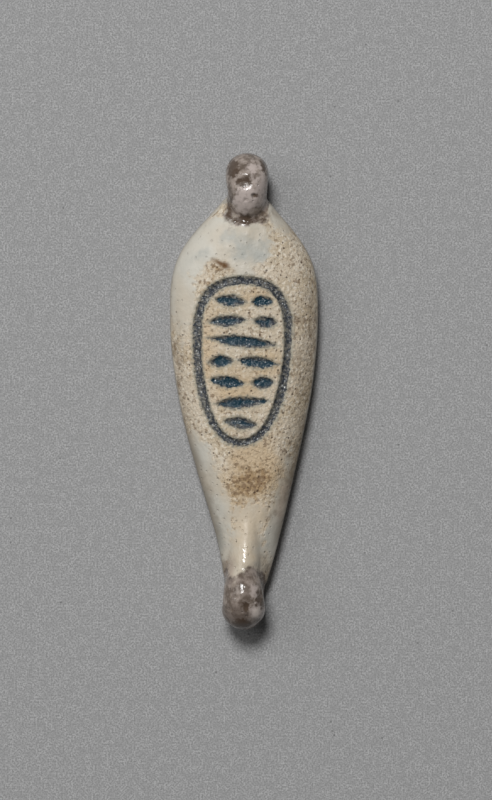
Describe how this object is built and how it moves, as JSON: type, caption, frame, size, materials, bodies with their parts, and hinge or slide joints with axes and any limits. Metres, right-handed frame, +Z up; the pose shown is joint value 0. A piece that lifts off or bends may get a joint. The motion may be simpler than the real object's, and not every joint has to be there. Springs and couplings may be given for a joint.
{
  "type": "petal-shaped bead",
  "caption": "Flat-backed petal-shaped collar bead of glazed paste with a carved oval and a cross-drilled string ring at each end.",
  "frame": {"origin": "middle of the bead's footprint, on the flat back that it lies on", "axes": "+Y along the length towards the wide end, +X across, +Z up from the flat back through the domed face"},
  "size_m": [0.014, 0.045, 0.0063],
  "materials": {
    "glazed_paste": "worn glaze, smooth and pale on the shoulders, bare and speckled on the face, dark blue in the carving and brown on the rings"
  },
  "bodies": {
    "root": {"petal_bead": "glazed_paste"}
  },
  "joints": []
}
